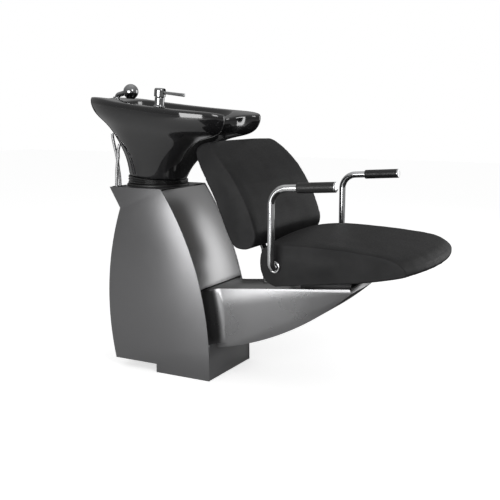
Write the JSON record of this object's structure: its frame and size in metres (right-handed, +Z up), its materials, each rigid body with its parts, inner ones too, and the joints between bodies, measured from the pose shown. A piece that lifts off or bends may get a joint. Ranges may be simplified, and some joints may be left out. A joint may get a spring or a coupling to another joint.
{
  "type": "shampoo backwash unit",
  "caption": "Hair salon shampoo unit: a black basin that tilts on a curved grey steel pedestal, with a cantilevered padded seat, a reclined backrest and armrests that fold up",
  "frame": {"origin": "middle of the base plate's underside, on the floor and on the symmetry plane", "axes": "+X towards the client's feet and the seat's nose, +Y towards the client's left-hand armrest, +Z up"},
  "size_m": [1.2989, 0.598, 1.0044],
  "materials": {
    "glossy_black_ceramic": "gloss glaze",
    "chrome": "polished",
    "grey_paint": "satin metallic powder coat",
    "pale_grey_paint": "satin metallic powder coat",
    "black_paint": "satin",
    "bare_steel": "as rolled",
    "black_upholstery": "vinyl-coated fabric with a soft sheen",
    "plywood": "raw",
    "black_rubber": "semi-gloss",
    "black_grip": "satin",
    "white_plastic": "matt"
  },
  "bodies": {
    "pedestal": {"side_panel_near": "grey_paint", "side_panel_far": "grey_paint", "front_panel": "pale_grey_paint", "kick_panel": "grey_paint", "rear_cover": "grey_paint", "top_plate": "grey_paint", "bottom_pan": "grey_paint", "rear_cover_screw_1": "chrome", "rear_cover_screw_2": "chrome", "rear_cover_screw_3": "chrome", "rear_cover_screw_4": "chrome", "base_plate": "bare_steel", "column": "bare_steel", "beam_spine": "bare_steel", "beam_shell": "pale_grey_paint", "seat_cushion": "black_upholstery", "seat_board": "plywood", "backrest_cushion": "black_upholstery", "back_board": "plywood", "back_bracket_near": "black_paint", "back_bracket_far": "black_paint", "seat_bracket": "black_paint", "bracket_bolt_near": "chrome", "bracket_bolt_far": "chrome", "arm_escutcheon_near": "chrome", "arm_stud_near": "bare_steel", "arm_escutcheon_far": "chrome", "arm_stud_far": "bare_steel", "tilt_bracket": "black_paint", "tilt_pin_near": "bare_steel", "tilt_pin_far": "bare_steel", "gaiter_base_ring": "black_rubber", "tilt_gaiter": "black_rubber", "hose_grommet": "black_rubber", "waste_boot": "black_rubber", "waste_trap": "white_plastic", "stop_valve_hot": "chrome", "stop_valve_cold": "chrome"},
    "basin": {"basin_bowl": "glossy_black_ceramic", "drain_strainer": "chrome", "drain_tailpiece": "chrome", "tilt_hub": "black_paint", "mixer_body": "chrome", "handset_socket": "chrome", "shower_hose": "chrome", "supply_hose": "chrome"},
    "mixer_head": {"mixer_cap": "chrome", "lever_pin": "bare_steel"},
    "lever": {"mixer_lever": "chrome"},
    "handset": {"handset_neck": "chrome", "handset_ball": "chrome", "spray_face": "black_grip", "handset_hose": "black_rubber"},
    "arm_near": {"arm_tube_near": "chrome", "grip_near": "black_grip", "grip_cap_near": "chrome"},
    "arm_far": {"arm_tube_far": "chrome", "grip_far": "black_grip", "grip_cap_far": "chrome"}
  },
  "joints": [
    {"name": "basin_tilt", "type": "hinge", "parent": "pedestal", "child": "basin", "pos_m": [-0.185, 0, 0.672], "axis": [0, -1, 0], "range_deg": [0, 8], "deforming": ["tilt_gaiter"]},
    {"name": "mixer_swivel", "type": "hinge", "parent": "basin", "child": "mixer_head", "pos_m": [-0.05446, -0.171, 0.97076], "axis": [0.0872, 0, 0.9962], "range_deg": [-45, 45]},
    {"name": "lever_lift", "type": "hinge", "parent": "mixer_head", "child": "lever", "pos_m": [-0.05053, -0.171, 0.96981], "axis": [0, -1, 0], "range_deg": [0, 25]},
    {"name": "handset_pull", "type": "slide", "parent": "basin", "child": "handset", "axis": [0.0872, 0, 0.9962], "range_m": [0, 0.08]},
    {"name": "arm_fold_near", "type": "hinge", "parent": "pedestal", "child": "arm_near", "pos_m": [0.41, -0.285, 0.445], "axis": [0, -1, 0], "range_deg": [0, 95]},
    {"name": "arm_fold_far", "type": "hinge", "parent": "pedestal", "child": "arm_far", "pos_m": [0.41, 0.285, 0.445], "axis": [0, -1, 0], "range_deg": [0, 95]}
  ]
}
